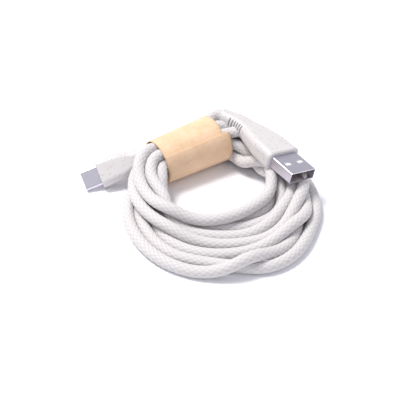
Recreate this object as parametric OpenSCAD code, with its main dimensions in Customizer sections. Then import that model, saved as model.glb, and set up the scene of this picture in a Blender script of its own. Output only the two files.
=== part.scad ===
// Charging cable: a braided cord wound into a flat coil and gathered by a paper band.
// One end has a rectangular type A plug, the other a flat oval type C plug.
// Millimetres. +Z is up, the cable lies on the plane z = 0, and the front of the coil is at -Y.

/* [Cord] */
// Outside diameter of the braided cord
cord_d = 4.6; // [4:0.1:5.6]
// Diameter of the jacket under the braid, as it is stripped inside the plugs
jacket_d = 4; // [3.2:0.1:4.4]
// Diameter of one insulated core wire
wire_d = 0.8; // [0.6:0.05:0.9]

/* [Coil] */
// Height of the fanned-out turns at the front of the coil
pile_h = 8.4; // [7:0.1:11]
// Width across the turns at the front of the coil
pile_w = 29; // [23:0.5:35]

/* [Paper band] */
// Length of the band along the gathered cord
band_l = 26.5; // [20:0.5:32]
// Thickness of the kraft paper
paper_t = 0.35; // [0.2:0.05:0.5]
// How much wider the band's right end is than its left end, on the radius
band_flare = 0.9; // [0:0.1:1.5]
// Gap between the band and the gathered cord
band_gap = 0.1; // [0.05:0.01:0.3]

/* [Type A plug] */
// Width of the metal shell
a_shell_w = 12; // [9.6:0.1:14.4]
// Height of the metal shell
a_shell_h = 4.5; // [3.8:0.1:5.4]
// Length of the shell outside the housing
a_shell_out = 12; // [10:0.1:14.4]
// Thickness of the shell's sheet
a_shell_t = 0.3; // [0.25:0.05:0.4]
// Wall of moulded plastic that stands proud of the shell at the housing's front
a_rim = 1.5; // [1.3:0.05:2]
// Length of the housing
a_housing_l = 20; // [18:0.5:24]
// Length of the strain relief behind the housing
a_relief_l = 15.2; // [12:0.1:18.3]
// Number of slots in the strain relief
a_slots = 6; // [3:1:7]

/* [Type C plug] */
// Width of the metal shell
c_shell_w = 8.25; // [8:0.05:9.9]
// Height of the metal shell
c_shell_h = 2.4; // [2.3:0.05:2.9]
// Length of the shell outside the housing
c_shell_out = 6.65; // [5.6:0.05:8]
// Thickness of the shell's sheet
c_shell_t = 0.15; // [0.12:0.01:0.2]
// Wall of moulded plastic that stands proud of the shell at the housing's front
c_rim = 1.4; // [1.2:0.05:1.8]
// Length of the housing
c_housing_l = 13.4; // [13:0.1:17]
// Length of the strain relief behind the housing
c_relief_l = 5.4; // [4.6:0.1:6.5]
// Number of slots in the strain relief
c_slots = 3; // [1:1:3]

/* [Fits] */
// Gap between pieces that are pushed or moulded together
fit = 0.05; // [0.02:0.01:0.08]

/* [Hidden] */
$fn = 48;
eps = 0.01;

// Colours
cord_white = "#ECEAE6";
straw_plastic = "#F1EEE8";
kraft = "#E6C29C";
steel = "#C9C6CE";
gold = "#D9B25A";
nylon = "#F4F3F0";
lcp_black = "#26262A";
board_green = "#2E6B4A";

coil_steps = 4;
coil_sides = 12;
tube_sides = 10;

// Eight strands lie round a ninth in the gathered part of the coil.
strands_round_middle = 8;
bundle_r = cord_d / 2 * (1 + 1 / sin(180 / strands_round_middle));
bundle_z = bundle_r + paper_t + 2 * band_gap;
band_at = [-4.5, 25];
band_heading = 34;

// Stations round the coil: x, y, half the width across the turns, lowest point, highest point.
// The first two are the ends of the straight stretch that the band holds.
straight = band_l / 2 - 0.5;
band_dir = [cos(band_heading), sin(band_heading)];
bundle_flat = bundle_r * cos(180 / coil_sides);
bundle = [bundle_flat, bundle_z - bundle_flat, bundle_z + bundle_flat];
COIL = [
    concat(band_at - straight * band_dir, bundle),
    concat(band_at + (straight - 2) * band_dir, bundle),
    [10.6, 34.4, 5, 2, 11],
    [19.4, 31.6, 5.6, 0, 9.6],
    [27.5, 23.5, 7, 0, 8.6],
    [33.5, 13, 7.5, 0, 8.2],
    [35.5, 0, 10, 0, 8.2],
    [32, -12, 0.47 * pile_w, 0, pile_h],
    [23, -22.5, 0.53 * pile_w, 0, pile_h],
    [10, -27, 0.5 * pile_w, 0, pile_h],
    [-4, -24.5, 0.46 * pile_w, 0, pile_h],
    [-15, -16, 9, 0, 9],
    [-19.5, -5, 6.5, 0, 9.4],
    [-20, 5, 4.6, 0, 9.6],
    [-17.6, 12.6, 4.6, 1.2, 10]
];

// Places of the two plugs: the middle of the housing's front face, then roll, tip down, heading.
a_at = [33, 12.3, 14];
a_turn = [-11, 3, -56];
c_at = [-37.9, 14.6, 4.85];
c_turn = [-42, 14.5, 198];

// How far each strain relief curves, seen from above, from its front to its rear.
a_bend = 36;
c_bend = 16;

relief_rear_d = cord_d + 1.7;

// ---- Functions ----

function rot_x(v, a) = [v[0], v[1] * cos(a) - v[2] * sin(a), v[1] * sin(a) + v[2] * cos(a)];
function rot_y(v, a) = [v[0] * cos(a) + v[2] * sin(a), v[1], -v[0] * sin(a) + v[2] * cos(a)];
function rot_z(v, a) = [v[0] * cos(a) - v[1] * sin(a), v[0] * sin(a) + v[1] * cos(a), v[2]];
function turned(v, t) = rot_z(rot_y(rot_x(v, t[0]), t[1]), t[2]);
function mix(a, b, t) = a + (b - a) * t;
function unit(v) = v / norm(v);

// A smooth curve through four neighbouring points, t from the second to the third.
function through(a, b, c, d, t) =
    0.5 * (2 * b + (c - a) * t + (2 * a - 5 * b + 4 * c - d) * t * t
    + (3 * b - a - 3 * c + d) * t * t * t);
function smooth_closed(pts, steps) = [
    for (i = [0:len(pts) - 1]) for (k = [0:steps - 1])
        let (n = len(pts))
        i == 0 ? mix(pts[0], pts[1], k / steps)
        : through(pts[(i + n - 1) % n], pts[i], pts[(i + 1) % n], pts[(i + 2) % n], k / steps)
];
function smooth_open(pts, steps) = concat([
    for (i = [0:len(pts) - 2]) for (k = [0:steps - 1])
        let (n = len(pts))
        through(pts[max(i - 1, 0)], pts[i], pts[i + 1], pts[min(i + 2, n - 1)], k / steps)
], [pts[len(pts) - 1]]);

// The middle of a strain relief s behind the housing's rear face, in the plug's own frame.
function relief_at(s, length, bend, housing_l) =
    let (r = length / (bend * PI / 180), a = bend * s / length)
    [-housing_l - r * sin(a), -r * (1 - cos(a)), 0];
function relief_dir(s, length, bend) = [cos(bend * s / length), sin(bend * s / length), 0];

// ---- Shared shapes ----

// A closed solid through rings of points, each ring with the same number of points.
module loft(rings, closed = false) {
    n = len(rings[0]);
    m = len(rings);
    last = closed ? m - 1 : m - 2;
    sides = [
        for (i = [0:last]) for (j = [0:n - 1])
            let (i2 = (i + 1) % m, j2 = (j + 1) % n)
            each [[i * n + j, i * n + j2, i2 * n + j2], [i * n + j, i2 * n + j2, i2 * n + j]]
    ];
    ends = closed ? [] : [
        [for (j = [n - 1:-1:0]) j],
        [for (j = [0:n - 1]) (m - 1) * n + j]
    ];
    polyhedron([for (ring = rings) each ring], concat(sides, ends), convexity = 6);
}

// A round tube of diameter d along points.
module tube(points, d) {
    m = len(points);
    rings = [
        for (i = [0:m - 1])
            let (
                along = unit(points[min(i + 1, m - 1)] - points[max(i - 1, 0)]),
                side = unit(cross(along, [0, 0, 1])),
                up = cross(side, along)
            )
            [
                for (j = [0:tube_sides - 1])
                    let (a = 360 * j / tube_sides)
                    points[i] + d / 2 * (cos(a) * side + sin(a) * up)
            ]
    ];
    loft(rings);
}

// A rectangle with round corners, drawn from squares and circles.
module round_rect(w, h, r) {
    square([w - 2 * r, h], center = true);
    square([w, h - 2 * r], center = true);
    for (x = [-1, 1]) for (y = [-1, 1])
        translate([x * (w / 2 - r), y * (h / 2 - r)]) circle(r);
}

// A bar with that section, from x0 to x1 along X.
module bar(x0, x1, w, h, r) {
    translate([x0, 0, 0]) rotate([90, 0, 90])
        linear_extrude(x1 - x0) round_rect(w, h, r);
}

// A rod along X.
module rod_x(x0, x1, d) {
    translate([x0, 0, 0]) rotate([0, 90, 0]) cylinder(h = x1 - x0, d = d);
}

// A core wire that runs straight out of the jacket, fans out and lands on its contact.
module wire(x0, x1, from_yz, to_yz, d) {
    quarter = (x1 - x0) / 4;
    tube([
        [x0, from_yz[0], from_yz[1]],
        [x0 + quarter, from_yz[0], from_yz[1]],
        [x1 - quarter, to_yz[0], to_yz[1]],
        [x1, to_yz[0], to_yz[1]]
    ], d);
}

// An oval section of a moulded body at x, as a thin slice.
module slice(x, w, h, r) {
    bar(x, x + 0.02, w, h, r, $fn = 32);
}

module place_a() { translate(a_at) rotate(a_turn) children(); }
module place_c() { translate(c_at) rotate(c_turn) children(); }

// A round rod that follows the strain relief's arc, run on by the given angle at both ends.
module arc_rod(length, bend, housing_l, d, over = 0) {
    r = length / (bend * PI / 180);
    translate([-housing_l, -r, 0]) rotate([0, 0, 90 - over])
        rotate_extrude(angle = bend + 2 * over) translate([r, 0]) circle(d = d);
}

// A tapered, curved strain relief with slots in both sides and a bore for the cord.
module strain_relief(length, bend, housing_l, front_w, front_h, slots) {
    slot_w = 0.6;
    slot_deep = 0.9;
    pitch = length * (slots < 4 ? 0.2 : 0.62 / slots);
    first = length * 0.16;
    difference() {
        union() for (k = [0:1]) hull() for (t = [k / 2, (k + 1) / 2])
            translate(relief_at(length * t, length, bend, housing_l))
                rotate([0, 0, bend * t])
                slice(-0.02, mix(front_w, relief_rear_d, t), mix(front_h, relief_rear_d, t),
                    relief_rear_d * 0.45);
        for (k = [0:slots - 1]) for (flip = [-1, 1]) {
            s = first + k * pitch;
            w = mix(front_w, relief_rear_d, s / length);
            translate(relief_at(s, length, bend, housing_l))
                rotate([0, 0, bend * s / length])
                translate([-slot_w / 2, flip > 0 ? w / 2 - slot_deep : -w / 2 - 1, -1.5])
                cube([slot_w, slot_deep + 1, relief_rear_d]);
        }
        arc_rod(length, bend, housing_l, cord_d + 2 * fit, 3);
    }
}

// ---- Cord ----

module coil() {
    stations = smooth_closed(COIL, coil_steps);
    n = len(stations);
    rings = [
        for (i = [0:n - 1])
            let (
                here = stations[i],
                ahead = i <= coil_steps ? band_dir
                    : stations[(i + 1) % n] - stations[(i + n - 1) % n],
                side = unit([ahead[1], -ahead[0], 0]),
                half_w = here[2] / cos(180 / coil_sides),
                low = max(here[3], 0),
                half_h = (here[4] - low) / 2 / cos(180 / coil_sides),
                middle = [here[0], here[1], (low + here[4]) / 2]
            )
            [
                for (j = [0:coil_sides - 1])
                    let (a = 360 * (j + 0.5) / coil_sides)
                    middle + half_w * cos(a) * side + [0, 0, half_h * sin(a)]
            ]
    ];
    color(cord_white) difference() {
        loft(rings, closed = true);
        // Room for the type C plug's strain relief, which lies against the turns
        place_c() rod_x(-c_housing_l - c_relief_l - 1.4, -c_housing_l + 4, c_relief_w + 1.8);
    }
}

// Each lead runs out of the gathered turns and squarely into its strain relief.
a_rear = a_at + turned(relief_at(a_relief_l, a_relief_l, a_bend, a_housing_l), a_turn);
a_rear_dir = turned(relief_dir(a_relief_l, a_relief_l, a_bend), a_turn);
c_rear = c_at + turned(relief_at(c_relief_l, c_relief_l, c_bend, c_housing_l), c_turn);
c_rear_dir = turned(relief_dir(c_relief_l, c_relief_l, c_bend), c_turn);
LEAD_A = [[2.2, 35.4, 13.1], [5, 37.4, 13.6]];
LEAD_C = [[-15.2, 21.6, 11.6]];

module lead_to_a() {
    points = concat(LEAD_A, [a_rear - 3 * a_rear_dir, a_rear - a_rear_dir]);
    color(cord_white) tube(concat(smooth_open(points, 3), [a_rear]), cord_d);
}

module lead_to_c() {
    points = concat(LEAD_C, [c_rear - 3 * c_rear_dir, c_rear - c_rear_dir]);
    color(cord_white) tube(concat(smooth_open(points, 3), [c_rear]), cord_d);
}

// ---- Paper band ----

// The band is a strip of paper wrapped once round and a third more, with the lap glued down.
// It is a slight cone whose lowest line lies level on the surface.
band_r0 = bundle_r + band_gap;
band_r1 = band_r0 + band_flare;
band_tilt = asin(band_flare / band_l);
glue_t = 0.1;
lap_from = 47;
lap_angle = 110;
joint_angle = 8;
glue_angle = 26;
lap_in = 2;
lap_out = 2.4;

function band_r(x) = mix(band_r0, band_r1, x / band_l);

// A ring of paper about X from x0 to x1, outside the band's inner face by the given offset.
module paper(x0, x1, offset_r, thick, from, angle) {
    rotate([from, 0, 0]) rotate([0, 90, 0]) rotate([0, 0, 180])
        rotate_extrude(angle = angle, $fn = 96) polygon([
            [band_r(x0) + offset_r, x0], [band_r(x1) + offset_r, x1],
            [band_r(x1) + offset_r + thick, x1], [band_r(x0) + offset_r + thick, x0]
        ]);
}

module place_band() {
    translate([band_at[0], band_at[1], paper_t + band_r0 + 0.02])
        rotate([0, 0, band_heading])
        translate([-band_l / 2, 0, 0]) rotate([0, -band_tilt, 0]) children();
}

module kraft_band() {
    color(kraft) place_band() {
        paper(0, band_l, 0, paper_t, 0, 360);
        paper(lap_in, band_l + lap_out, paper_t + glue_t, paper_t, lap_from, lap_angle);
        paper(lap_in + 0.3, band_l - 0.3, paper_t / 2, paper_t + glue_t,
            lap_from + lap_angle - joint_angle - 1, joint_angle);
    }
}

module band_glue() {
    color("#EFE9DC") place_band()
        paper(lap_in + 2, band_l - 2, paper_t + eps, glue_t - 2 * eps, lap_from + 3,
            glue_angle);
}

// ---- Type A plug, along +X from the housing's front face, contacts on the tongue's underside ----

a_shell_in = 4;
a_shell_r = 0.6;
a_inner_w = a_shell_w - 2 * a_shell_t;
a_inner_h = a_shell_h - 2 * a_shell_t;
a_window_w = 2.5;
a_window_l = 2;
a_window_x = 0.48 * a_shell_out;
a_window_y = 2.9;
a_tongue_w = a_inner_w - 2 * fit - 0.4;
a_tongue_t = 1.84;
a_tongue_top = a_inner_h / 2 - fit;
a_tongue_low = a_tongue_top - a_tongue_t;
a_tongue_out = a_shell_out - 0.6;
a_contact_w = 1;
a_contact_t = 0.28;
a_contact_y = [-3.5, -1, 1, 3.5];
a_contact_l = [a_tongue_out - 0.8, a_tongue_out - 1.8, a_tongue_out - 1.8, a_tongue_out - 0.8];
a_tail = -5.8;
a_can_t = 0.25;
a_can_front = -2.8;
a_can_rear = -9.4;
a_barrel_rear = -12;
a_can_w = a_shell_w + 2 * fit + 2 * a_can_t;
a_can_h = a_shell_h + 2 * fit + 2 * a_can_t;
a_mould_front = -1.1;
a_mould_rear = -10;
a_mould_w = a_can_w + 0.8;
a_mould_h = a_can_h + 0.8;
a_front_w = a_shell_w + 2 * a_rim;
a_front_h = a_shell_h + 2 * a_rim + 0.3;
a_back_w = 10.8;
a_back_h = 6.8;
a_relief_w = 10.2;
a_relief_h = 6.6;
a_ring_d = jacket_d + 1.2;
a_ring_x = [-17.5, -15];

module a_shell() {
    color(steel) place_a() difference() {
        bar(-a_shell_in, a_shell_out, a_shell_w, a_shell_h, a_shell_r);
        bar(-a_shell_in - 1, a_shell_out + 1, a_inner_w, a_inner_h, a_shell_r - a_shell_t);
        for (y = [-a_window_y, a_window_y])
            translate([a_window_x - a_window_l / 2, y - a_window_w / 2, -a_shell_h])
                cube([a_window_l, a_window_w, 2 * a_shell_h]);
    }
}

module a_tongue() {
    color(nylon) place_a() difference() {
        union() {
            translate([-a_shell_in - 0.5, -a_tongue_w / 2, a_tongue_low])
                cube([a_shell_in + 0.5 + a_tongue_out, a_tongue_w, a_tongue_t]);
            bar(-a_shell_in - 0.5, -0.5, a_inner_w - 2 * fit, a_inner_h - 2 * fit,
                a_shell_r - a_shell_t);
        }
        for (y = a_contact_y)
            translate([a_tail - 1, y - a_contact_w / 2 - fit, a_tongue_low - fit - 0.05])
                cube([30, a_contact_w + 2 * fit, a_contact_t + 2 * fit]);
        // Chamfer along the front edge, under the tip
        translate([a_tongue_out - 1, -a_shell_w, a_tongue_low - 2])
            rotate([0, -40, 0]) cube([4, 2 * a_shell_w, 2]);
    }
}

module a_contacts() {
    color(gold) place_a() for (i = [0:3])
        translate([a_tail, a_contact_y[i] - a_contact_w / 2, a_tongue_low - 0.05])
            cube([a_contact_l[i] - a_tail - 0.6, a_contact_w, a_contact_t]);
}

// The rear can laps the shell's rear end and closes down to a barrel round the jacket.
module rear_can(front, rear, barrel_rear, w, h, r, t) {
    difference() {
        union() {
            bar(rear, front, w, h, r);
            rod_x(barrel_rear, rear + t, jacket_d + 2 * fit + 2 * t);
        }
        bar(rear + t, front + 1, w - 2 * t, h - 2 * t, r - t);
        rod_x(barrel_rear - 1, rear + 2 * t, jacket_d + 2 * fit);
    }
}

module a_rear_can() {
    color(steel) place_a()
        rear_can(a_can_front, a_can_rear, a_barrel_rear, a_can_w, a_can_h, 0.85, a_can_t);
}

module a_inner_mould() {
    color(nylon) place_a() difference() {
        bar(a_mould_rear, a_mould_front, a_mould_w, a_mould_h, 1);
        bar(a_can_rear - fit, a_can_front + fit, a_can_w + 2 * fit, a_can_h + 2 * fit, 0.9);
        bar(a_can_front - 1, 0, a_shell_w + 2 * fit, a_shell_h + 2 * fit, a_shell_r + fit);
        rod_x(a_mould_rear - 1, a_can_rear + 1, jacket_d + 4 * fit + 2 * a_can_t);
    }
}

module a_housing() {
    color(straw_plastic) place_a() difference() {
        hull() {
            slice(-0.02, a_front_w - 0.8, a_front_h - 0.8, 2);
            slice(-0.6, a_front_w, a_front_h, 2.4);
            slice(-a_housing_l * 0.5, a_front_w - 0.4, a_front_h - 0.2, 2.6);
            slice(-a_housing_l, a_back_w, a_back_h, 2.8);
        }
        bar(a_mould_rear - fit, a_mould_front + fit,
            a_mould_w + 2 * fit, a_mould_h + 2 * fit, 1 + fit);
        bar(a_mould_front - 1, 1, a_shell_w + 2 * fit, a_shell_h + 2 * fit, a_shell_r + fit);
        rod_x(a_barrel_rear - fit, a_mould_rear, jacket_d + 4 * fit + 2 * a_can_t);
        rod_x(-a_housing_l - 1, a_mould_rear, jacket_d + 2 * fit);
        rod_x(a_ring_x[0] - fit, a_ring_x[1] + fit, a_ring_d + 2 * fit);
    }
}

module a_strain_relief() {
    color(straw_plastic) place_a()
        strain_relief(a_relief_l, a_bend, a_housing_l, a_relief_w, a_relief_h, a_slots);
}

// The cord inside the strain relief bends with it.
module a_cord_end() {
    color(cord_white) place_a() arc_rod(a_relief_l, a_bend, a_housing_l, cord_d);
}

module a_jacket_end() {
    color(nylon) place_a() rod_x(-a_housing_l, a_can_rear + 0.6, jacket_d);
}

module crimp_ring(x, outer_d) {
    difference() {
        rod_x(x[0], x[1], outer_d);
        rod_x(x[0] - 1, x[1] + 1, jacket_d + 2 * fit);
    }
}

module a_crimp_ring() { color(gold) place_a() crimp_ring(a_ring_x, a_ring_d); }

// Four core wires, each from its quarter of the jacket to under its contact's tail.
module a_wire(contact, from_yz) {
    place_a() wire(a_can_rear + 0.6 + eps, a_tail + 0.9, from_yz,
        [a_contact_y[contact], a_tongue_low - 0.05 - wire_d / 2 - eps], wire_d);
}
core_r = 0.75;
module a_wire_power() { color("#B3322B") a_wire(0, [-1.5 * core_r, -core_r / 2]); }
module a_wire_data_minus() { color("#F2F2EE") a_wire(1, [-0.5, core_r]); }
module a_wire_data_plus() { color("#3E8E52") a_wire(2, [0.5, core_r]); }
module a_wire_ground() { color("#26262A") a_wire(3, [1.5 * core_r, -core_r / 2]); }

// ---- Type C plug, along +X from the housing's front face ----

c_shell_in = 3;
c_inner_w = c_shell_w - 2 * c_shell_t;
c_inner_h = c_shell_h - 2 * c_shell_t;
c_body_w = c_inner_w - 2 * fit;
c_body_h = c_inner_h - 2 * fit;
c_body_out = c_shell_out - 0.5;
c_mouth_w = c_body_w - 1.55;
c_mouth_h = c_body_h - 0.44;
c_pitch = 1.1;
c_contact_y = [for (i = [-2.5:1:2.5]) i * c_pitch];
c_contact_w = 0.3;
c_contact_t = 0.15;
c_contact_z = 0.4;
c_beam_root = -0.35;
c_beam_tip = c_body_out - 0.95;
c_tail_end = -5.4;
c_latch_y = c_mouth_w / 2 + 0.15;
c_latch_t = 0.2;
c_latch_h = 0.5;
c_latch_room = c_body_w / 2 - 0.17;
c_board_t = 0.7;
c_board_w = 7.2;
c_board_x = [-7.6, -3.9];
c_can_t = 0.2;
c_can_front = -2.2;
c_can_rear = -8.8;
c_barrel_rear = -10.8;
c_can_w = c_shell_w + 2 * fit + 2 * c_can_t;
c_can_h = max(c_shell_h, jacket_d) + 2 * fit + 2 * c_can_t + 0.1;
c_mould_front = -1.1;
c_mould_rear = -9.3;
c_mould_w = c_can_w + 0.6;
c_mould_h = c_can_h + 0.5;
c_front_w = c_shell_w + 2 * c_rim;
c_front_h = c_shell_h + 2 * c_rim + 1.2;
c_back_w = 8.8;
c_back_h = 6.2;
c_relief_w = 8.4;
c_relief_h = 6;
c_ring_d = jacket_d + 0.9;
c_ring_x = [-12.9, -11.2];

// An oval bar whose ends are nearly full rounds.
module oval(x0, x1, w, h) {
    bar(x0, x1, w, h, h / 2 - 0.1);
}

module c_shell() {
    color(steel) place_c() difference() {
        oval(-c_shell_in, c_shell_out, c_shell_w, c_shell_h);
        oval(-c_shell_in - 1, c_shell_out + 1, c_inner_w, c_inner_h);
    }
}

module c_insulator() {
    color(lcp_black) place_c() difference() {
        oval(-c_shell_in, c_body_out, c_body_w, c_body_h);
        // Mouth for the socket's tongue
        translate([-0.5, -c_mouth_w / 2, -c_mouth_h / 2])
            cube([c_shell_out + 1, c_mouth_w, c_mouth_h]);
        // A channel at each side for the latches, and a slot for their plate
        for (side = [-1, 1])
            translate([-c_shell_in - 1, side > 0 ? c_mouth_w / 2 - eps : -c_latch_room,
                -c_latch_h / 2 - fit])
                cube([c_shell_out + 5, c_latch_room - c_mouth_w / 2 + eps, c_latch_h + 2 * fit]);
        translate([-c_shell_in - 1, -c_mouth_w / 2 - 0.3, -0.11])
            cube([c_shell_in + 1, c_mouth_w + 0.6, 0.22]);
        for (y = c_contact_y) for (side = [-1, 1])
            translate([-c_shell_in - 1, y - c_contact_w / 2 - fit,
                side * (c_contact_z + c_contact_t / 2) - c_contact_t / 2 - fit])
                cube([c_shell_in + 1, c_contact_w + 2 * fit, c_contact_t + 2 * fit]);
    }
}

// One row of spring contacts, above the middle plane: thin beams with a round tip bent inwards.
module contact_row() {
    for (y = c_contact_y) {
        translate([c_beam_root, y - c_contact_w / 2, c_contact_z])
            cube([c_beam_tip - c_beam_root, c_contact_w, c_contact_t]);
        translate([c_beam_tip - 0.5, y + c_contact_w / 2, c_contact_z + 0.02])
            rotate([90, 0, 0]) cylinder(h = c_contact_w, r = 0.12, $fn = 24);
    }
}

module c_upper_contacts() { color(gold) place_c() contact_row(); }
module c_lower_contacts() { color(gold) place_c() mirror([0, 0, 1]) contact_row(); }

// The fixed rear ends of both rows, which are soldered to the board.
module c_contact_tails() {
    color(gold) place_c() for (y = c_contact_y) for (side = [-1, 1])
        translate([c_tail_end, y - c_contact_w / 2,
            side * (c_contact_z + c_contact_t / 2) - c_contact_t / 2])
            cube([c_beam_root - 0.05 - c_tail_end, c_contact_w, c_contact_t]);
}

// A latch arm at the side of the mouth, with a hook that holds the socket's tongue.
module latch() {
    translate([c_beam_root, c_latch_y, -c_latch_h / 2])
        cube([c_body_out - 0.75 - c_beam_root, c_latch_t, c_latch_h]);
    translate([c_body_out - 1.35, c_latch_y - 0.35, -c_latch_h / 2])
        cube([0.6, 0.36, c_latch_h]);
}

module c_latch_left() { color(steel) place_c() latch(); }
module c_latch_right() { color(steel) place_c() mirror([0, 1, 0]) latch(); }

// The plate between the two rows, with the roots of both latch arms.
module c_mid_plate() {
    color(steel) place_c() {
        translate([-c_shell_in - 0.6, -c_latch_y - 0.05, -0.06])
            cube([c_shell_in + 0.05, 2 * c_latch_y + 0.1, 0.12]);
        for (side = [-1, 1])
            translate([-c_shell_in - 0.6, side > 0 ? c_latch_y : -c_latch_y - c_latch_t,
                -c_latch_h / 2])
                cube([c_shell_in + 0.6 + c_beam_root - 0.05, c_latch_t, c_latch_h]);
    }
}

module c_board() {
    color(board_green) place_c()
        translate([c_board_x[0], -c_board_w / 2, -c_board_t / 2])
        cube([c_board_x[1] - c_board_x[0], c_board_w, c_board_t]);
}

module c_resistor() {
    color(lcp_black) place_c()
        translate([-7.1, -0.25, c_board_t / 2 + eps]) cube([1, 0.5, 0.35]);
}

module c_rear_can() {
    color(steel) place_c()
        rear_can(c_can_front, c_can_rear, c_barrel_rear, c_can_w, c_can_h, 1.2, c_can_t);
}

module c_inner_mould() {
    color(nylon) place_c() difference() {
        bar(c_mould_rear, c_mould_front, c_mould_w, c_mould_h, 1.4);
        bar(c_can_rear - fit, c_can_front + fit, c_can_w + 2 * fit, c_can_h + 2 * fit, 1.25);
        oval(c_can_front - 1, 0, c_shell_w + 2 * fit, c_shell_h + 2 * fit);
        rod_x(c_mould_rear - 1, c_can_rear + 1, jacket_d + 4 * fit + 2 * c_can_t);
    }
}

module c_housing() {
    color(straw_plastic) place_c() difference() {
        hull() {
            slice(-0.02, c_front_w - 0.8, c_front_h - 0.8, 2);
            slice(-0.6, c_front_w, c_front_h, 2.4);
            slice(-c_housing_l * 0.7, c_front_w - 0.5, c_front_h, 2.6);
            slice(-c_housing_l, c_back_w, c_back_h, 2.7);
        }
        bar(c_mould_rear - fit, c_mould_front + fit,
            c_mould_w + 2 * fit, c_mould_h + 2 * fit, 1.4 + fit);
        oval(c_mould_front - 1, 1, c_shell_w + 2 * fit, c_shell_h + 2 * fit);
        rod_x(c_barrel_rear - fit, c_mould_rear, jacket_d + 4 * fit + 2 * c_can_t);
        rod_x(-c_housing_l - 1, c_mould_rear, jacket_d + 2 * fit);
        rod_x(c_ring_x[0] - fit, c_ring_x[1] + fit, c_ring_d + 2 * fit);
    }
}

module c_strain_relief() {
    color(straw_plastic) place_c()
        strain_relief(c_relief_l, c_bend, c_housing_l, c_relief_w, c_relief_h, c_slots);
}

module c_cord_end() {
    color(cord_white) place_c() arc_rod(c_relief_l, c_bend, c_housing_l, cord_d);
}

module c_jacket_end() {
    color(nylon) place_c() rod_x(-c_housing_l, c_can_rear + 0.6, jacket_d);
}

module c_crimp_ring() { color(gold) place_c() crimp_ring(c_ring_x, c_ring_d); }

// Two core wires land on top of the board and two underneath.
module c_wire(y_side, z_side) {
    place_c() wire(c_can_rear + 0.6 + eps, -6.3, [0.75 * y_side, 0.8 * z_side],
        [2 * y_side, z_side * (c_board_t / 2 + wire_d / 2 + 0.02)], wire_d);
}
module c_wire_power() { color("#B3322B") c_wire(-1, 1); }
module c_wire_ground() { color("#26262A") c_wire(1, 1); }
module c_wire_data_plus() { color("#3E8E52") c_wire(-1, -1); }
module c_wire_data_minus() { color("#F2F2EE") c_wire(1, -1); }

coil();
lead_to_a();
lead_to_c();
kraft_band();
band_glue();
a_shell();
a_tongue();
a_contacts();
a_rear_can();
a_inner_mould();
a_housing();
a_strain_relief();
a_cord_end();
a_jacket_end();
a_crimp_ring();
a_wire_power();
a_wire_ground();
a_wire_data_plus();
a_wire_data_minus();
c_shell();
c_insulator();
c_upper_contacts();
c_lower_contacts();
c_contact_tails();
c_latch_left();
c_latch_right();
c_mid_plate();
c_board();
c_resistor();
c_rear_can();
c_inner_mould();
c_housing();
c_strain_relief();
c_cord_end();
c_jacket_end();
c_crimp_ring();
c_wire_power();
c_wire_ground();
c_wire_data_plus();
c_wire_data_minus();
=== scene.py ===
# %% [markdown]
# # A braided charging cable, wound up in a paper band
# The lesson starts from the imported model: every plug, pin and wire already has its place there.
# What is soft, the braided cord and the paper band, is made here as mesh.
# Every finish, on new pieces and packed ones alike, is built from nodes.

# %% Load the frame
import math
import bmesh
import bpy
import numpy as np
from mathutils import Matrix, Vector, noise


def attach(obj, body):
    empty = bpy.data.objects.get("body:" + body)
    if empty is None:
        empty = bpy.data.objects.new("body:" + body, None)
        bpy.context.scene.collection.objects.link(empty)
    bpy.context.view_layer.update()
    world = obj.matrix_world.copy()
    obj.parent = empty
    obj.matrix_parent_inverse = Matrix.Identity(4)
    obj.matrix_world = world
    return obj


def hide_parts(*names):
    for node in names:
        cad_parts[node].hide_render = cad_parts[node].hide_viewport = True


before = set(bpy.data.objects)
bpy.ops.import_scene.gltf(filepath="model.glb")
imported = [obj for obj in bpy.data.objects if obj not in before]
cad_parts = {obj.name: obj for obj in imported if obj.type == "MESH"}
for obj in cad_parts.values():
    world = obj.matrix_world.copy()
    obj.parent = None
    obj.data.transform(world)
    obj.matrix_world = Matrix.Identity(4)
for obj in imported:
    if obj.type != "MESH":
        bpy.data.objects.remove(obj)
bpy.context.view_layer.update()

MM = 0.001

# %% [markdown]
# The camera comes first, because the loops of cord are judged against what it sees.
# It looks down on the table at 38 degrees with a long lens, as a product picture is taken,
# so that the far side of the loops is hardly smaller than the near side.

# %% Camera
LOOK_AT = Vector((1.3, 5.0, 0)) * MM
DISTANCE = 400 * MM
ELEVATION = math.radians(38)
HALF_VIEW = math.atan(5 / 26)
back = Vector((0, -math.cos(ELEVATION), math.sin(ELEVATION)))
camera = bpy.data.objects.new("camera", bpy.data.cameras.new("camera"))
bpy.context.scene.collection.objects.link(camera)
camera.location = LOOK_AT + back * DISTANCE
camera.rotation_euler = (-back).to_track_quat("-Z", "Y").to_euler()
camera.data.angle = 2 * HALF_VIEW
camera.data.clip_start, camera.data.clip_end = 0.01, 50
bpy.context.scene.camera = camera
print("camera at", tuple(round(v, 3) for v in camera.location))

# %% [markdown]
# The cord is one braided lead, 4.6 mm thick, in eight loops that pass nine times through the band.
# It could be drawn as a curve by hand, but strands that lie on each other have to be a diameter apart
# everywhere. So a rough route is written down first, and then relaxed: small steps push touching strands
# apart, keep the bends smooth and hold the length, which is how a real bundle settles.

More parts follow.
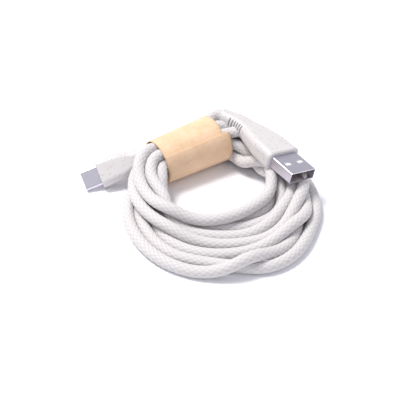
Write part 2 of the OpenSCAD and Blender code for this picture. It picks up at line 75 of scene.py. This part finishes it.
# %% Facts of the cord and the band
CORD_D = 4.6
CORD_R = CORD_D / 2
BAND_AT = np.array([-4.5, 25.0])
BAND_L = 26.5
BAND_R = (8.41, 9.31)
BAND_TILT = math.asin((BAND_R[1] - BAND_R[0]) / BAND_L)
PAPER_T = 0.35
AXIS_Z = PAPER_T + BAND_R[0] + 0.02
HEADING = math.radians(34)
ALONG = np.array([math.cos(HEADING), math.sin(HEADING)])
ACROSS = np.array([-math.sin(HEADING), math.cos(HEADING)])
A_REAR, A_INTO = np.array([10.157, 38.056, 16.671]), np.array([0.927, -0.342, -0.154])
C_REAR, C_INTO = np.array([-20.945, 20.694, 10.025]), np.array([-0.778, -0.468, -0.419])
C_TIP, C_HOUSING_L = np.array([-37.9, 14.6, 4.85]), 13.4
print("the band's middle is", BAND_AT, "mm on the table")

# %% [markdown]
# Inside the band the strands lie in a ring round one in the middle, and a strand may change its place on
# the way. Nine passes go through the band, and eight loops on the table join each pass to the next.
# Each loop is a list of points in mm, from the band's right end round to its left end.

# %% Rough route
RING = 6.01
MIDDLE = None
PASSES = [
    (135, 180), (225, 225), (270, 270), (0, 0), (315, 315), (90, 90), (45, 45), (180, MIDDLE), (MIDDLE, 135),
]
IN_FROM_EDGE = 1
STRAIGHT_OUT = 2.5
CLEARANCE_UP = 0.08
LOOPS = [
    [(18, 35, 3.5), (30, 28, 2.3), (39, 14, 2.3), (42.6, 0, 2.3), (42.3, -10, 2.3), (37.3, -26, 2.3),
     (26, -36, 2.3), (8, -35, 2.3), (-7, -30, 2.3), (-16.5, -19, 2.3), (-20, -5, 2.3), (-19.5, 7, 2.6)],
    [(17, 33, 5), (28, 25, 3), (35.5, 12, 2.3), (38, -2, 2.3), (37, -15, 2.3), (30, -27.5, 3),
     (18, -37, 4.5), (3, -39.5, 2.3), (-11, -33.7, 2.3), (-21, -18.8, 2.3), (-23.5, -4, 2.3), (-21, 9, 2.6)],
    [(17, 34, 2.5), (27, 27, 2.3), (32, 16, 2.3), (32, 5, 2.3), (26, -6, 2.3), (16, -11, 2.3),
     (5, -11, 2.3), (-6, -9.5, 2.3), (-14, -3, 5), (-16.5, 6, 6.5)],
    [(17, 31.5, 6), (26, 25, 4.5), (31, 16, 3), (32.5, 5, 3), (29, -7, 2.3), (19, -14, 2.3),
     (6, -15, 2.3), (-6, -13, 2.3), (-15.5, -5, 4), (-18, 6, 5)],
    [(15.5, 29.5, 5.5), (24, 23.5, 6.4), (29, 15.5, 6.6), (30, 7.4, 6.4), (25, -3, 6.4), (15, -12, 6.4),
     (4, -16, 6.4), (-8, -13, 6.4), (-17.5, -3, 8), (-21.5, 6, 10.6), (-20.5, 13.5, 12.5)],
    [(15, 34.5, 10), (24, 29, 7), (32, 18, 6.5), (36, 5, 6.4), (32.5, -8, 5), (22, -17, 2.3),
     (6.8, -18.6, 2.3), (-6, -16.5, 4), (-14, -7, 6.5), (-16.5, 3, 8.5), (-16.5, 10, 10.5)],
    [(15, 32.5, 9.5), (24, 29, 8), (34, 20, 6.5), (40, 6, 6.4), (37, -9, 5.5), (26, -20, 3),
     (10.3, -23.6, 2.3), (-5, -21.5, 3.5), (-17, -13, 6.4), (-22.5, -2, 6.4), (-23.5, 8, 6.4)],
    [(15, 35, 6), (25, 31, 4), (35, 19, 4), (40.5, 7, 4), (40.3, -5, 4.5), (33, -19.5, 4),
     (20, -28, 3), (8, -29.6, 2.3), (-6, -26, 2.3), (-15.5, -14, 2.3), (-16.5, 0, 2.3), (-16, 9, 3)],
]


def place_in_band(angle, x):
    """A strand's centre in the band: angle 0 faces the hole, 90 is the top, MIDDLE is the core."""
    reach = 0 if angle is MIDDLE else RING
    turn = math.radians(angle or 0)
    flat = BAND_AT + ALONG * x - ACROSS * math.cos(turn) * reach
    return np.array([*flat, AXIS_Z + CLEARANCE_UP + math.sin(turn) * reach])


def one_pass(left, right):
    """A strand's way through the band; one that changes its place goes round the strands beside it."""
    end = BAND_L / 2 - IN_FROM_EDGE
    ends = place_in_band(left, -end), place_in_band(right, end)
    middle = sum(ends) / 2
    if left != right:
        centre = sum(place_in_band(a, 0) for a in (135, 180, MIDDLE)) / 3
        axis = np.array([*ALONG, 0])
        out = middle - centre
        out -= axis * (out @ axis)
        middle = centre + out / np.linalg.norm(out) * CORD_D / math.sqrt(3)
    return [ends[0], middle, ends[1]]


rough = [C_REAR, C_REAR - STRAIGHT_OUT * C_INTO, *one_pass(*PASSES[0])]
for loop, ends in zip(LOOPS, PASSES[1:]):
    rough += [*map(np.array, loop), *one_pass(*ends)]
rough += [A_REAR - STRAIGHT_OUT * A_INTO, A_REAR]
print(len(rough), "rough points in", len(LOOPS), "loops")

# %% [markdown]
# One smooth curve through the points, cut to equal steps, serves twice: it starts the relaxing,
# and later it gives the finer line that the mesh follows.

# %% Smooth curve through points
def smooth_line(points, step, fine=20):
    """Points at equal steps on a centripetal cubic through the given ones."""
    p = np.array(points, float)
    at = np.r_[0, np.cumsum(np.sqrt(np.linalg.norm(np.diff(p, axis=0), axis=1)))]
    slope = np.diff(p, axis=0) / np.diff(at)[:, None]
    share = (np.diff(at)[1:] / (at[2:] - at[:-2]))[:, None]
    tangent = np.vstack([slope[0], slope[:-1] * share + slope[1:] * (1 - share), slope[-1]])
    t = np.arange(0, 1, 1 / fine)[None, :, None]
    gap = np.diff(at)[:, None, None]
    line = (
        (2 * t**3 - 3 * t**2 + 1) * p[:-1, None]
        + (t**3 - 2 * t**2 + t) * gap * tangent[:-1, None]
        + (3 * t**2 - 2 * t**3) * p[1:, None]
        + (t**3 - t**2) * gap * tangent[1:, None]
    )
    line = np.vstack([line.reshape(-1, 3), p[-1]])
    run = np.r_[0, np.cumsum(np.linalg.norm(np.diff(line, axis=0), axis=1))]
    where = np.linspace(0, run[-1], round(run[-1] / step) + 1)
    return np.stack([np.interp(where, run, line[:, k]) for k in range(3)], 1)


STEP = 2.3
start_line = smooth_line(rough, STEP)
print("rough length", round(len(start_line) * STEP), "mm")

# %% [markdown]
# The relaxing works on all the points at once. Each round pulls every point weakly to its first place,
# smooths the bends, pushes pairs that are too close apart, and keeps strands in the band, off the small
# plug's body and on the table. Nothing in it is random, so that each run gives the same cord.

# %% Keep clear of the plug and in the band
HOUSING_R, RELIEF_R = 3.9, 3.3
PAPER_CLEARANCE = 0.1
HELD_TO = 15
LOOPS_END_AT_Y = 8


def push_out(p, a, b, distance):
    """Moves points that are nearer than the distance to the line from a to b out to it."""
    ab = b - a
    near = a + np.clip((p - a) @ ab / (ab @ ab), 0, 1)[:, None] * ab
    off = p - near
    far = np.linalg.norm(off, axis=1)
    hit = far < distance
    p[hit] = near[hit] + off[hit] / np.maximum(far[hit], 1e-6)[:, None] * distance


def hold_in_band(p):
    """Draws strands that pass through the band back inside its paper."""
    x, side = (p[:, :2] - BAND_AT) @ ALONG, (p[:, :2] - BAND_AT) @ ACROSS
    up = p[:, 2] - AXIS_Z - np.interp(x, [-BAND_L / 2, BAND_L / 2], [0, BAND_R[1] - BAND_R[0]])
    room = np.interp(x, [-BAND_L / 2, BAND_L / 2], BAND_R) - CORD_R - PAPER_CLEARANCE
    reach = np.hypot(side, up)
    hit = (np.abs(x) < HELD_TO) & (reach > room) & (p[:, 1] > LOOPS_END_AT_Y)
    shrink = room[hit] / reach[hit] - 1
    p[hit, :2] += ACROSS * (side[hit] * shrink)[:, None]
    p[hit, 2] += up[hit] * shrink


into_plug = np.array([0.921, 0.299, 0.25])
HOUSING_END = C_TIP + C_HOUSING_L * into_plug / np.linalg.norm(into_plug)
print("the small plug's body ends at", HOUSING_END.round(1), "mm")

# %% [markdown]
# Each rule of the relaxing is one small function that works on all the points, and returns how far each
# should move or moves it itself. A round is those rules in turn. The pull back to the first route grows
# weaker from round to round, so that the strands first find their order and then settle.

# %% Relax the route
PULL_FIRST, PULL_LAST = 0.02, 0.002
SMOOTHING = 0.8
NEIGHBOURS = 6
PLUG_ENDS = 10
ROUNDS = 260


def straighten(p):
    """Moves that even out the bend at each point, from its two neighbours on each side."""
    bend = np.zeros_like(p)
    bend[2:-2] = (-p[:-4] + 4 * p[1:-3] - 6 * p[2:-2] + 4 * p[3:-1] - p[4:]) / 16
    return bend * SMOOTHING


def separate(p, one, other):
    """Moves that push pairs of strands nearer than a diameter apart, half of the way each."""
    gap = p[one] - p[other]
    far = np.sqrt((gap**2).sum(1))
    hit = far < CORD_D
    a, b, g, f = one[hit], other[hit], gap[hit], np.maximum(far[hit], 1e-6)
    half = g / f[:, None] * ((CORD_D - f) / 4)[:, None]
    move, met = np.zeros_like(p), np.zeros(len(p))
    for points, sign in ((a, 1), (b, -1)):
        np.add.at(move, points, sign * half)
        np.add.at(met, points, 1)
    return move / np.sqrt(np.maximum(met, 1))[:, None]


def relax(line, rounds):
    p, count = line.copy(), len(line)
    apart = np.linalg.norm(np.diff(line, axis=0), axis=1).mean()
    free = np.ones((count, 1))
    free[:2] = free[-2:] = 0
    one, other = np.nonzero(np.triu(np.ones((count, count), bool), NEIGHBOURS))
    for i in range(rounds):
        p += (line - p) * (PULL_FIRST * (1 - i / rounds) + PULL_LAST) * free
        for _ in range(2):
            p += straighten(p) * free
        for _ in range(2):
            p += separate(p, one, other) * free
        hold_in_band(p)
        body = p[PLUG_ENDS:-PLUG_ENDS].copy()
        push_out(body, C_TIP, HOUSING_END, HOUSING_R + CORD_R)
        push_out(body, HOUSING_END, C_REAR, RELIEF_R + CORD_R)
        p[PLUG_ENDS:-PLUG_ENDS] = body
        p[:, 2] = np.maximum(p[:, 2], CORD_R)
        for _ in range(2):
            link = np.diff(p, axis=0)
            size = np.linalg.norm(link, axis=1)
            fix = link / size[:, None] * ((size - apart) / 4)[:, None]
            p[:-1] += fix * free[:-1]
            p[1:] -= fix * free[1:]
    return p


settled = relax(start_line, ROUNDS)
print("settled, lowest centre", round(settled[:, 2].min(), 2), "mm")

# %% [markdown]
# A braided jacket is a tube with small raised diamonds, where one bundle of yarn passes over another.
# Bump alone leaves the outline dead straight, so the diamonds are real: the tube has enough points
# round it for its radius to swell at each crossing. Real diamonds are about 0.7 mm; these are 0.9 mm wide,
# as coarse as they need to be to show.

# %% Sweep the braided tube
SIDES = 48
DIAMONDS = 16
DIAMOND_L = 1.35
RAISED = 0.1
TUBE_STEP = 0.46
SUNK = 0.06
INTO_RELIEF = 1.5
PRESSED_FLAT_AT = 0.03


def carried_sides(line):
    """For each point two vectors square to the line, carried along it without twisting."""
    d = np.gradient(line, axis=0)
    d /= np.linalg.norm(d, axis=1)[:, None]
    side = np.cross(d[0], [0.3, 0.2, 1.0])
    sides = []
    for direction in d:
        side = side - direction * (side @ direction)
        side /= np.linalg.norm(side)
        sides.append(side)
    sides = np.array(sides)
    return sides, np.cross(d, sides)


def grid_mesh(name, points, closed_round, uv=None):
    """A mesh from rows of points, each row joined to the next, in mm."""
    rows, cols = points.shape[:2]
    wrap = cols if closed_round else cols - 1
    r, c = np.meshgrid(np.arange(rows - 1), np.arange(wrap), indexing="ij")
    n = (c + 1) % cols
    quads = np.stack([r * cols + c, r * cols + n, (r + 1) * cols + n, (r + 1) * cols + c], -1)
    mesh = bpy.data.meshes.new(name)
    mesh.vertices.add(rows * cols)
    mesh.vertices.foreach_set("co", (points * MM).astype(np.float32).ravel())
    mesh.loops.add(quads.size)
    mesh.loops.foreach_set("vertex_index", quads.ravel().astype(np.int32))
    mesh.polygons.add(quads.size // 4)
    mesh.polygons.foreach_set("loop_start", np.arange(0, quads.size, 4, dtype=np.int32))
    mesh.update(calc_edges=True)
    mesh.shade_smooth()
    if uv is not None:
        corners = [(c, r), (c + 1, r), (c + 1, r + 1), (c, r + 1)]
        corner = np.stack([np.stack(pair, -1) for pair in corners], 2)
        layer = mesh.uv_layers.new(name="weave")
        layer.data.foreach_set("uv", (corner * uv).astype(np.float32).ravel())
    piece = bpy.data.objects.new(name, mesh)
    bpy.context.scene.collection.objects.link(piece)
    return piece


path = smooth_line([C_REAR + INTO_RELIEF * C_INTO, *settled, A_REAR + INTO_RELIEF * A_INTO], TUBE_STEP)
side, up = carried_sides(path)
turn = np.linspace(0, 2 * math.pi, SIDES, endpoint=False)
round_share = np.arange(SIDES) / SIDES * DIAMONDS
along_share = np.arange(len(path)) * TUBE_STEP / DIAMOND_L
lean_one = along_share[:, None] + round_share[None, :]
lean_two = along_share[:, None] - round_share[None, :]
swell = np.abs(np.sin(math.pi * lean_one / 2) * np.sin(math.pi * lean_two / 2))
radius = CORD_R - SUNK + RAISED * (swell - 0.5)
outward = np.cos(turn)[None, :, None] * side[:, None] + np.sin(turn)[None, :, None] * up[:, None]
ring = path[:, None] + radius[..., None] * outward
ring[..., 2] = np.maximum(ring[..., 2], PRESSED_FLAT_AT)
cord = grid_mesh("braided_cord", ring, True, uv=(DIAMONDS / SIDES, TUBE_STEP / DIAMOND_L))

# %% [markdown]
# The band is one strip of brown kraft paper, wrapped once round the bundle and on over itself. It could be
# a plain cylinder, but the free edge of the lap and the small lift where the paper climbs over its own
# start are what make it read as paper. So the strip is wound as a spiral and given its thickness.

# %% Wind the paper band
# Angles, and the widths of the creases, are in degrees round the band. Other sizes are in mm.
LAP_END, LAP_START = 47, 148
WOUND = LAP_START + 360 - LAP_END
CLIMB_FROM, CLIMB_OVER = 336, 14
SLANT_FROM, SLANT_OVER = 325, 45
SLANT_IN, SLANT_OUT = 0.2, 2.4
LAP_LIFT = PAPER_T + 0.1
RIPPLE_SHARE = 0.5
WAVE_MM, WAVE_DEGREES, WAVE_HEIGHT, WAVE_BASE = 7, 40, 0.05, 0.6
NOISE_SLICE = 3.1
OFF_TABLE = 0.02
CREASES = [
    (28, 3.0, 0.14), (74, 2.2, 0.10), (118, 3.4, 0.16),
    (196, 4.0, 0.12), (262, 3.0, 0.12), (330, 3.6, 0.14),
]


def ease(x):
    """0 before, 1 after, and a smooth step between."""
    x = np.clip(x, 0, 1)
    return x * x * (3 - 2 * x)


def paper_face(outer, rows=300, cols=30):
    """Points of one face of the strip: it winds from under the lap round to the lap's free edge."""
    wound = np.linspace(0, WOUND, rows)
    climbed = ease((wound - CLIMB_FROM) / CLIMB_OVER)
    slanted = ease((wound - SLANT_FROM) / SLANT_OVER)
    points = np.zeros((rows, cols, 3))
    for i, w in enumerate(wound):
        angle = math.radians(LAP_START - w)
        x = np.linspace(SLANT_IN * slanted[i], BAND_L + SLANT_OUT * slanted[i], cols)
        ripple = sum(h * math.exp(-(((LAP_START - w) % 360 - a) / s) ** 2) for a, s, h in CREASES)
        wave = np.array([noise.noise(Vector((v / WAVE_MM, w / WAVE_DEGREES, NOISE_SLICE))) for v in x])
        cone = BAND_R[0] + (BAND_R[1] - BAND_R[0]) * x / BAND_L
        lift = LAP_LIFT * climbed[i] + (PAPER_T if outer else 0)
        r = cone + lift + RIPPLE_SHARE * ripple + WAVE_HEIGHT * (wave + WAVE_BASE)
        y, z = -r * math.sin(angle), r * math.cos(angle)
        tilted_x = x * math.cos(BAND_TILT) - z * math.sin(BAND_TILT)
        tilted_z = x * math.sin(BAND_TILT) + z * math.cos(BAND_TILT)
        flat = BAND_AT + (tilted_x - BAND_L / 2)[:, None] * ALONG + y[:, None] * ACROSS
        lowest = OFF_TABLE if outer else PAPER_T + OFF_TABLE
        points[i] = np.column_stack([flat, np.maximum(AXIS_Z + tilted_z, lowest)])
    return points


inner, outer = paper_face(False), paper_face(True)
strip = np.concatenate([inner, outer[:, ::-1]], axis=1)
band = grid_mesh("kraft_paper_band", strip, True, uv=(1.0, 0.24))
print("strip wound", WOUND, "degrees,", len(band.data.vertices), "vertices")

# %% [markdown]
# Winding joins the two faces along the band's round edges. The strip's two cut ends are still open,
# so each gets a row of small faces, and the piece is then closed like real paper with a thickness.

# %% Close the strip's cut ends
across, round_strip = inner.shape[1], strip.shape[1]
work = bmesh.new()
work.from_mesh(band.data)
work.verts.ensure_lookup_table()
for first in (0, (strip.shape[0] - 1) * round_strip):
    for j in range(across - 1):
        back_j = round_strip - 1 - j
        work.faces.new([work.verts[first + k] for k in (j, j + 1, back_j - 1, back_j)])
bmesh.ops.recalc_face_normals(work, faces=work.faces)
work.to_mesh(band.data)
work.free()

# %% [markdown]
# Colours are written as sRGB hex, as a paint chart gives them, and turned to linear light in one place.
# A finish is a material whose shader gets its colour, roughness and bump from a few nodes.

# %% Helpers for finishes
def linear(hex_colour):
    """sRGB hex, such as F0E8E0, as linear red, green, blue and alpha."""
    parts = [int(hex_colour[i:i + 2], 16) / 255 for i in (0, 2, 4)]
    return [p / 12.92 if p <= 0.04045 else ((p + 0.055) / 1.055) ** 2.4 for p in parts] + [1]


def start_finish(name, **shader):
    """A new material, its node tree and its shader, with the values that are the same all over."""
    finish = bpy.data.materials.new(name)
    finish.use_nodes = True
    tree = finish.node_tree
    surface = tree.nodes["Principled BSDF"]
    for socket, value in shader.items():
        label = socket if socket == "IOR" else socket.replace("_", " ").title()
        surface.inputs[label].default_value = value
    return finish, tree, surface


def add(tree, kind, inputs, **settings):
    """A node with its settings, its plain inputs and its links."""
    node = tree.nodes.new("ShaderNode" + kind)
    for key, value in settings.items():
        setattr(node, key, value)
    for socket, value in inputs.items():
        if isinstance(value, bpy.types.NodeSocket):
            tree.links.new(value, node.inputs[socket])
        else:
            node.inputs[socket].default_value = value
    return node


def per_mm(size):
    """The texture scale that gives features of that size in mm."""
    return 1000 / size


def dress(tree, surface, colour, height, strength, distance, roughness=None):
    """Links a finish's colour, its bump and, where it varies, its roughness."""
    bump = add(tree, "Bump", {"Height": height, "Strength": strength, "Distance": distance})
    tree.links.new(colour, surface.inputs["Base Color"])
    tree.links.new(bump.outputs[0], surface.inputs["Normal"])
    if roughness is not None:
        tree.links.new(roughness, surface.inputs["Roughness"])


# Sockets that share a name are reached by their number on the node.
SHARE, ONE, TWO, MIXED = 0, 6, 7, 2
VALUE, LOW, HIGH, START, END = range(5)
BUMP_DEPTH = 0.1 * MM
print("helpers ready")

# %% [markdown]
# The cord's jacket is braided from dull polyester yarn, off-white and a little warm. Its diamonds are already
# in the mesh; the finish adds the fine yarn lines that lean one way or the other, painted shade that darkens
# the dips between the diamonds, and the soft bright edge that loose fibres give (sheen).

# %% Braided polyester
braid, tree, surface = start_finish(
    "braided_polyester", Roughness=0.78, Sheen_weight=0.25, Sheen_roughness=0.5
)
weave = add(tree, "UVMap", {}, uv_map="weave")
axes = add(tree, "SeparateXYZ", {0: weave.outputs[0]})
waves, yarns = [], []
YARNS_PER_DIAMOND = 5
for operation in ("ADD", "SUBTRACT"):
    lean = add(tree, "Math", {0: axes.outputs[1], 1: axes.outputs[0]}, operation=operation)
    for found, turns in ((waves, math.pi / 2), (yarns, math.pi * YARNS_PER_DIAMOND)):
        angle = add(tree, "Math", {0: lean.outputs[0], 1: turns}, operation="MULTIPLY")
        found.append(add(tree, "Math", {0: angle.outputs[0]}, operation="SINE").outputs[0])
crossing = add(tree, "Math", {0: waves[0], 1: waves[1]}, operation="MULTIPLY")
height = add(tree, "Math", {0: crossing.outputs[0]}, operation="ABSOLUTE")
over = add(tree, "Math", {0: crossing.outputs[0], 1: 0.0}, operation="GREATER_THAN")
yarn = add(tree, "Mix", {SHARE: over.outputs[0], 2: yarns[0], 3: yarns[1]}, data_type="FLOAT")
print("diamonds and yarn lines ready")

# %% [markdown]
# The pattern now turns into colour and relief. The dips get painted shade, only a little darker than the
# yarn, because white yarn scatters light into them, and a slow noise of 9 mm makes some stretches a shade
# duller.

# %% Colour and relief of the braid
spread = add(tree, "TexNoise", {"Scale": per_mm(9), "Detail": 2.0})
# painted shade: where the braid's height is low, in the dips between the diamonds, the colour goes to the
# darker C3BFBD; the raised tops keep D6D4D6
shade = add(tree, "MapRange", {VALUE: height.outputs[0], LOW: 0.0, HIGH: 0.4, START: 0.0, END: 1.0})
uneven = add(tree, "MapRange", {VALUE: spread.outputs[0], LOW: 0.3, HIGH: 0.7, START: 0.0, END: 0.35})
depth = add(tree, "Mix", {SHARE: shade.outputs[0], ONE: linear("C3BFBD"), TWO: linear("D6D4D6")},
            data_type="RGBA")
yarn_colour = add(tree, "Mix", {SHARE: uneven.outputs[0], ONE: depth.outputs[MIXED], TWO: linear("CBC7C6")},
                  data_type="RGBA")
lines = add(tree, "Math", {0: yarn.outputs[0], 1: 0.18, 2: 0.0}, operation="MULTIPLY_ADD")
relief = add(tree, "Math", {0: lines.outputs[0], 1: height.outputs[0]}, operation="ADD")
dress(tree, surface, yarn_colour.outputs[MIXED], relief.outputs[0], 0.5, BUMP_DEPTH)
cord.data.materials.append(braid)
print("braid has", len(tree.nodes), "nodes")

# %% [markdown]
# Kraft paper is unbleached wood pulp, pressed flat: light brown, dull, with short fibres in every
# direction and cloudy patches where the pulp lay thicker. Fibres are noise stretched in two directions,
# 0.45 mm across and up to four times as long, and the patches are clouds of 5 mm.

# %% Kraft paper
paper, tree, surface = start_finish("kraft_paper", Roughness=0.86, Sheen_weight=0.08)
place = add(tree, "TexCoord", {})
cloud = add(tree, "TexNoise", {"Vector": place.outputs["Object"], "Scale": per_mm(5), "Detail": 4.0})
layers = []
for lengths in ((0.25, 0.25, 1.0), (1.0, 0.3, 0.25)):
    stretch = add(tree, "Mapping", {"Vector": place.outputs["Object"], "Scale": lengths})
    layer = add(tree, "TexNoise", {"Vector": stretch.outputs[0], "Scale": per_mm(0.45), "Detail": 3.0})
    layers.append(layer.outputs[0])
fibres = add(tree, "Math", {0: layers[0], 1: layers[1]}, operation="MINIMUM")
patch = add(tree, "MapRange", {VALUE: cloud.outputs[0], LOW: 0.3, HIGH: 0.7, START: 0.0, END: 1.0})
dark = add(tree, "MapRange", {VALUE: fibres.outputs[0], LOW: 0.28, HIGH: 0.42, START: 0.28, END: 0.0})
pulp = add(tree, "Mix", {SHARE: patch.outputs[0], ONE: linear("E3C09C"), TWO: linear("ECCDAE")},
           data_type="RGBA")
brown = add(tree, "Mix", {SHARE: dark.outputs[0], ONE: pulp.outputs[MIXED], TWO: linear("C2935F")},
            data_type="RGBA")
dress(tree, surface, brown.outputs[MIXED], fibres.outputs[0], 0.15, BUMP_DEPTH)
band.data.materials.append(paper)
print("kraft paper has", len(tree.nodes), "nodes")

# %% [markdown]
# The plug bodies and their strain reliefs are moulded from a plastic filled with ground wheat straw:
# off-white, satin, and full of beige and brown flecks that lie just under the surface. Each layer of flecks
# is a cell pattern with cells 0.7 to 1.4 mm wide, cut to small islands at the cells' middles.

# %% Straw-filled plastic
# Cell size in mm, a fleck's reach as a share of its cell, its colour, and its width over its length.
FLECKS = [(1.1, 0.24, "B5A596", 0.5), (0.7, 0.2, "C2B4A6", 0.8), (1.4, 0.14, "8F7B68", 0.5)]
straw, tree, surface = start_finish("straw_filled_plastic", Roughness=0.46, IOR=1.5, Coat_weight=0.05)
place = add(tree, "TexCoord", {})
colour = linear("CFCDCE")
for size, reach, tint, squeeze in FLECKS:
    shape = add(tree, "Mapping", {"Vector": place.outputs["Object"], "Scale": (1, squeeze, 1),
                                  "Rotation": (size, squeeze, 0.6), "Location": (size * 0.01, 0, 0)})
    cells = add(tree, "TexVoronoi", {"Vector": shape.outputs[0], "Scale": per_mm(size)})
    fleck = add(tree, "MapRange", {VALUE: cells.outputs["Distance"], LOW: reach * 0.6, HIGH: reach,
                                   START: 0.75, END: 0.0})
    colour = add(tree, "Mix", {SHARE: fleck.outputs[0], ONE: colour, TWO: linear(tint)},
                 data_type="RGBA").outputs[MIXED]
grain = add(tree, "TexNoise", {"Vector": place.outputs["Object"], "Scale": per_mm(0.35), "Detail": 3.0})
dress(tree, surface, colour, grain.outputs[0], 0.12, BUMP_DEPTH)
print("straw plastic has", len(tree.nodes), "nodes")

# %% [markdown]
# The rest, metals and plastics alike, share one recipe: a clouded colour, a little uneven gloss and a fine
# grain. What differs is the real thing. Nickel-plated steel, the metal of both plug sleeves, is a bright,
# slightly lavender grey; gold-plated copper and brass have their own colours. A metal shows mostly
# what stands round it, so its roughness is what the eye goes by.

# %% Clouded finish
def clouded_finish(name, colour, shade, roughness, grain_mm, uneven, strength, depth, **shader):
    """A colour that clouds into its shade, with gloss that varies by the uneven amounts down and up."""
    finish, tree, surface = start_finish(name, **shader)
    place = add(tree, "TexCoord", {})
    grain = add(tree, "TexNoise", {"Vector": place.outputs["Object"], "Scale": per_mm(grain_mm),
                                   "Detail": 4.0 if "Metallic" in shader else 3.0})
    tone = add(tree, "Mix", {SHARE: grain.outputs[0], ONE: linear(colour), TWO: linear(shade)},
               data_type="RGBA")
    rough = add(tree, "MapRange", {VALUE: grain.outputs[0], LOW: 0.3, HIGH: 0.7,
                                   START: roughness - uneven, END: roughness + uneven})
    dress(tree, surface, tone.outputs[MIXED], grain.outputs[0], strength, depth, rough.outputs[0])
    return finish


def metal_finish(name, colour, shade, roughness, grain_mm):
    return clouded_finish(name, colour, shade, roughness, grain_mm, 0.03, 0.02, 0.05 * MM, Metallic=1.0)


nickel = metal_finish("nickel_plated_steel", "E0DDE8", "D8D4E0", 0.34, 1.2)
gold = metal_finish("gold_plated_copper", "E3BD6A", "D2A650", 0.24, 0.3)
brass = metal_finish("crimped_brass", "CDB173", "B99A5C", 0.36, 0.5)
print("three metals ready")

# %% [markdown]
# Everything inside the plugs is moulded, extruded or laminated plastic. A common IOR of 1.5 gives them
# the same weak shine, and the mould's grain, 0.2 to 0.9 mm here, keeps them from looking wet.

# %% Plastics
def plastic_finish(name, colour, shade, roughness, grain_mm=0.5):
    return clouded_finish(name, colour, shade, roughness, grain_mm, 0.06, 0.08, BUMP_DEPTH, IOR=1.5)


white_insulator = plastic_finish("white_moulded_insulator", "F4F2F2", "E6E3E4", 0.42)
black_insulator = plastic_finish("black_moulded_insulator", "2B2A2E", "202024", 0.4)
inner_mould = plastic_finish("inner_moulded_polyethylene", "EDEAE4", "DEDAD2", 0.5, 0.9)
pvc = plastic_finish("extruded_pvc_jacket", "F0EFEC", "E2E0DB", 0.5)
board = plastic_finish("green_circuit_board", "2C6E4B", "24593D", 0.38, 0.3)
resistor = plastic_finish("black_chip_resistor", "232326", "35353A", 0.45, 0.2)
hot_glue = plastic_finish("clear_hot_glue", "EFE9DC", "E2DAC8", 0.3, 0.7)
WIRES = {
    "power": ("red", "B3262B", "9C1F25"), "ground": ("black", "222226", "2E2E33"),
    "data_plus": ("green", "2E7D46", "25683A"), "data_minus": ("white", "F0F0EE", "DEDEDB"),
}
wire_finish = {
    role: plastic_finish(colour + "_wire_insulation", one, two, 0.45)
    for role, (colour, one, two) in WIRES.items()
}
print(len(bpy.data.materials), "finishes so far")

# %% [markdown]
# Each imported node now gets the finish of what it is. Its shape stays exactly as it was packed, because
# joints, fits and collisions were checked on it, and only the material slot changes.

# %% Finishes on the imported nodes
FINISH_OF = {
    straw: ["a_housing", "a_strain_relief", "c_housing", "c_strain_relief"],
    nickel: ["a_shell", "a_rear_can", "c_shell", "c_mid_plate", "c_rear_can",
             "c_latch_left", "c_latch_right"],
    gold: ["a_contacts", "c_contact_tails", "c_upper_contacts", "c_lower_contacts"],
    brass: ["a_crimp_ring", "c_crimp_ring"],
    white_insulator: ["a_tongue"],
    black_insulator: ["c_insulator"],
    inner_mould: ["a_inner_mould", "c_inner_mould"],
    pvc: ["a_jacket_end", "a_cord_end", "c_jacket_end", "c_cord_end"],
    board: ["c_board"],
    resistor: ["c_resistor"],
    hot_glue: ["band_glue"],
}
FINISH_OF |= {finish: [f"{plug}_wire_{role}" for plug in "ac"] for role, finish in wire_finish.items()}
for finish, names in FINISH_OF.items():
    for name in names:
        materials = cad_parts[name].data.materials
        materials.clear()
        materials.append(finish)
print("finished", sum(map(len, FINISH_OF.values())), "nodes")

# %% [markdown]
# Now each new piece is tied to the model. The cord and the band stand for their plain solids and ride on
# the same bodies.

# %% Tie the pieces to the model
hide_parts("coil", "lead_to_a", "lead_to_c")
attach(cord, "cord")
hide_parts("kraft_band")
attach(band, "band")

# %% [markdown]
# The studio is a pale floor that runs far past the view and an even white sky, whose light comes from
# everywhere and fills the gaps between the loops softly.

# %% Floor and sky
HALF_FLOOR = 3.0
floor_mesh = bpy.data.meshes.new("floor")
CORNERS = [(x * HALF_FLOOR, y * HALF_FLOOR, 0) for x, y in ((-1, -1), (1, -1), (1, 1), (-1, 1))]
floor_mesh.from_pydata(CORNERS, [], [(0, 1, 2, 3)])
floor = bpy.data.objects.new("floor", floor_mesh)
bpy.context.scene.collection.objects.link(floor)
ground, tree, surface = start_finish("white_studio_floor", Roughness=0.6, Base_color=linear("FBFBFF"))
floor_mesh.materials.append(ground)

sky = bpy.data.worlds.new("white_sky")
bpy.context.scene.world = sky
sky.use_nodes = True
light_of_sky = sky.node_tree.nodes["Background"].inputs
light_of_sky["Color"].default_value = linear("F8F9FF")
light_of_sky["Strength"].default_value = 0.6
bpy.context.scene.view_settings.view_transform = "Standard"
print("floor", 2 * HALF_FLOOR, "m wide")

# %% [markdown]
# Two round lamps, 40 and 60 cm wide, stand in for soft boxes. The key lamp is warm and strong; the fill
# lamp is weak and a little blue, so that the shaded sides keep their form without a second shadow.

# %% Lamps
def soft_lamp(name, place, size, power, tint):
    lamp = bpy.data.objects.new(name, bpy.data.lights.new(name, "AREA"))
    lamp.data.shape, lamp.data.size, lamp.data.energy = "DISK", size, power
    lamp.data.color = linear(tint)[:3]
    lamp.location = place
    lamp.rotation_euler = (-Vector(place)).to_track_quat("-Z", "Y").to_euler()
    bpy.context.scene.collection.objects.link(lamp)


soft_lamp("key_lamp", (-0.35, 0.15, 0.85), 0.4, 9.0, "FFFBF8")
soft_lamp("fill_lamp", (0.5, -0.6, 0.7), 0.6, 0.8, "F4F6FF")
print("lamps:", *bpy.data.lights.keys())
